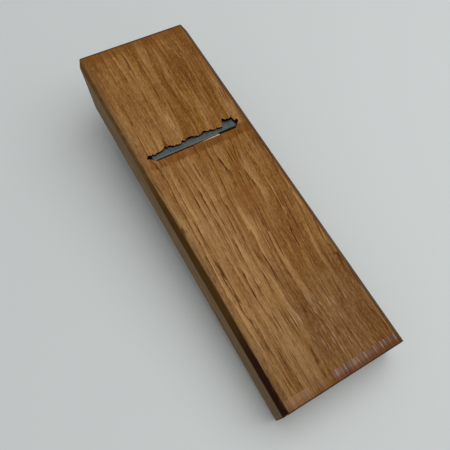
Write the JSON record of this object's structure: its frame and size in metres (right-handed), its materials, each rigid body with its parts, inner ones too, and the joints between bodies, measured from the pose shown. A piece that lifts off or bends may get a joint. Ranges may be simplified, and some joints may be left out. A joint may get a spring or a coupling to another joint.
{
  "type": "hand plane",
  "caption": "Pull-cut hand plane lying on its back: a low wooden block, its sole up, with a laminated blade and chip breaker wedged in a sloping throat behind a narrow mouth.",
  "frame": {"origin": "on the sole, at the middle of the front edge of the mouth", "axes": "+Z out of the sole, which faces up as the plane lies on its back; +X along the block to its front end, away from the struck end behind the blade; +Y across the block to the side that the cross pin is driven from"},
  "size_m": [0.27, 0.085, 0.0512],
  "materials": {
    "oak_block": "worn bare oak, oiled by handling, darker at its edges",
    "blade_iron": "forged soft iron with dark scale, ground bare on its bevel",
    "blade_steel": "hardened steel, honed flat",
    "breaker_iron": "forged soft iron with dark scale",
    "breaker_steel": "hardened steel, honed at its edge",
    "pin_iron": "plain drawn rod, dulled"
  },
  "bodies": {
    "block": {"dai": "oak_block", "cross_pin": "pin_iron"},
    "blade": {"blade_iron": "blade_iron", "blade_steel": "blade_steel"},
    "chip_breaker": {"chip_breaker_iron": "breaker_iron", "chip_breaker_steel": "breaker_steel"}
  },
  "joints": [
    {"name": "blade_slide", "type": "slide", "parent": "block", "child": "blade", "axis": [-0.7809, 0, -0.6247], "range_m": [0, 0.045]},
    {"name": "chip_breaker_slide", "type": "slide", "parent": "blade", "child": "chip_breaker", "axis": [-0.7631, 0, -0.6463], "range_m": [0, 0.03]}
  ]
}
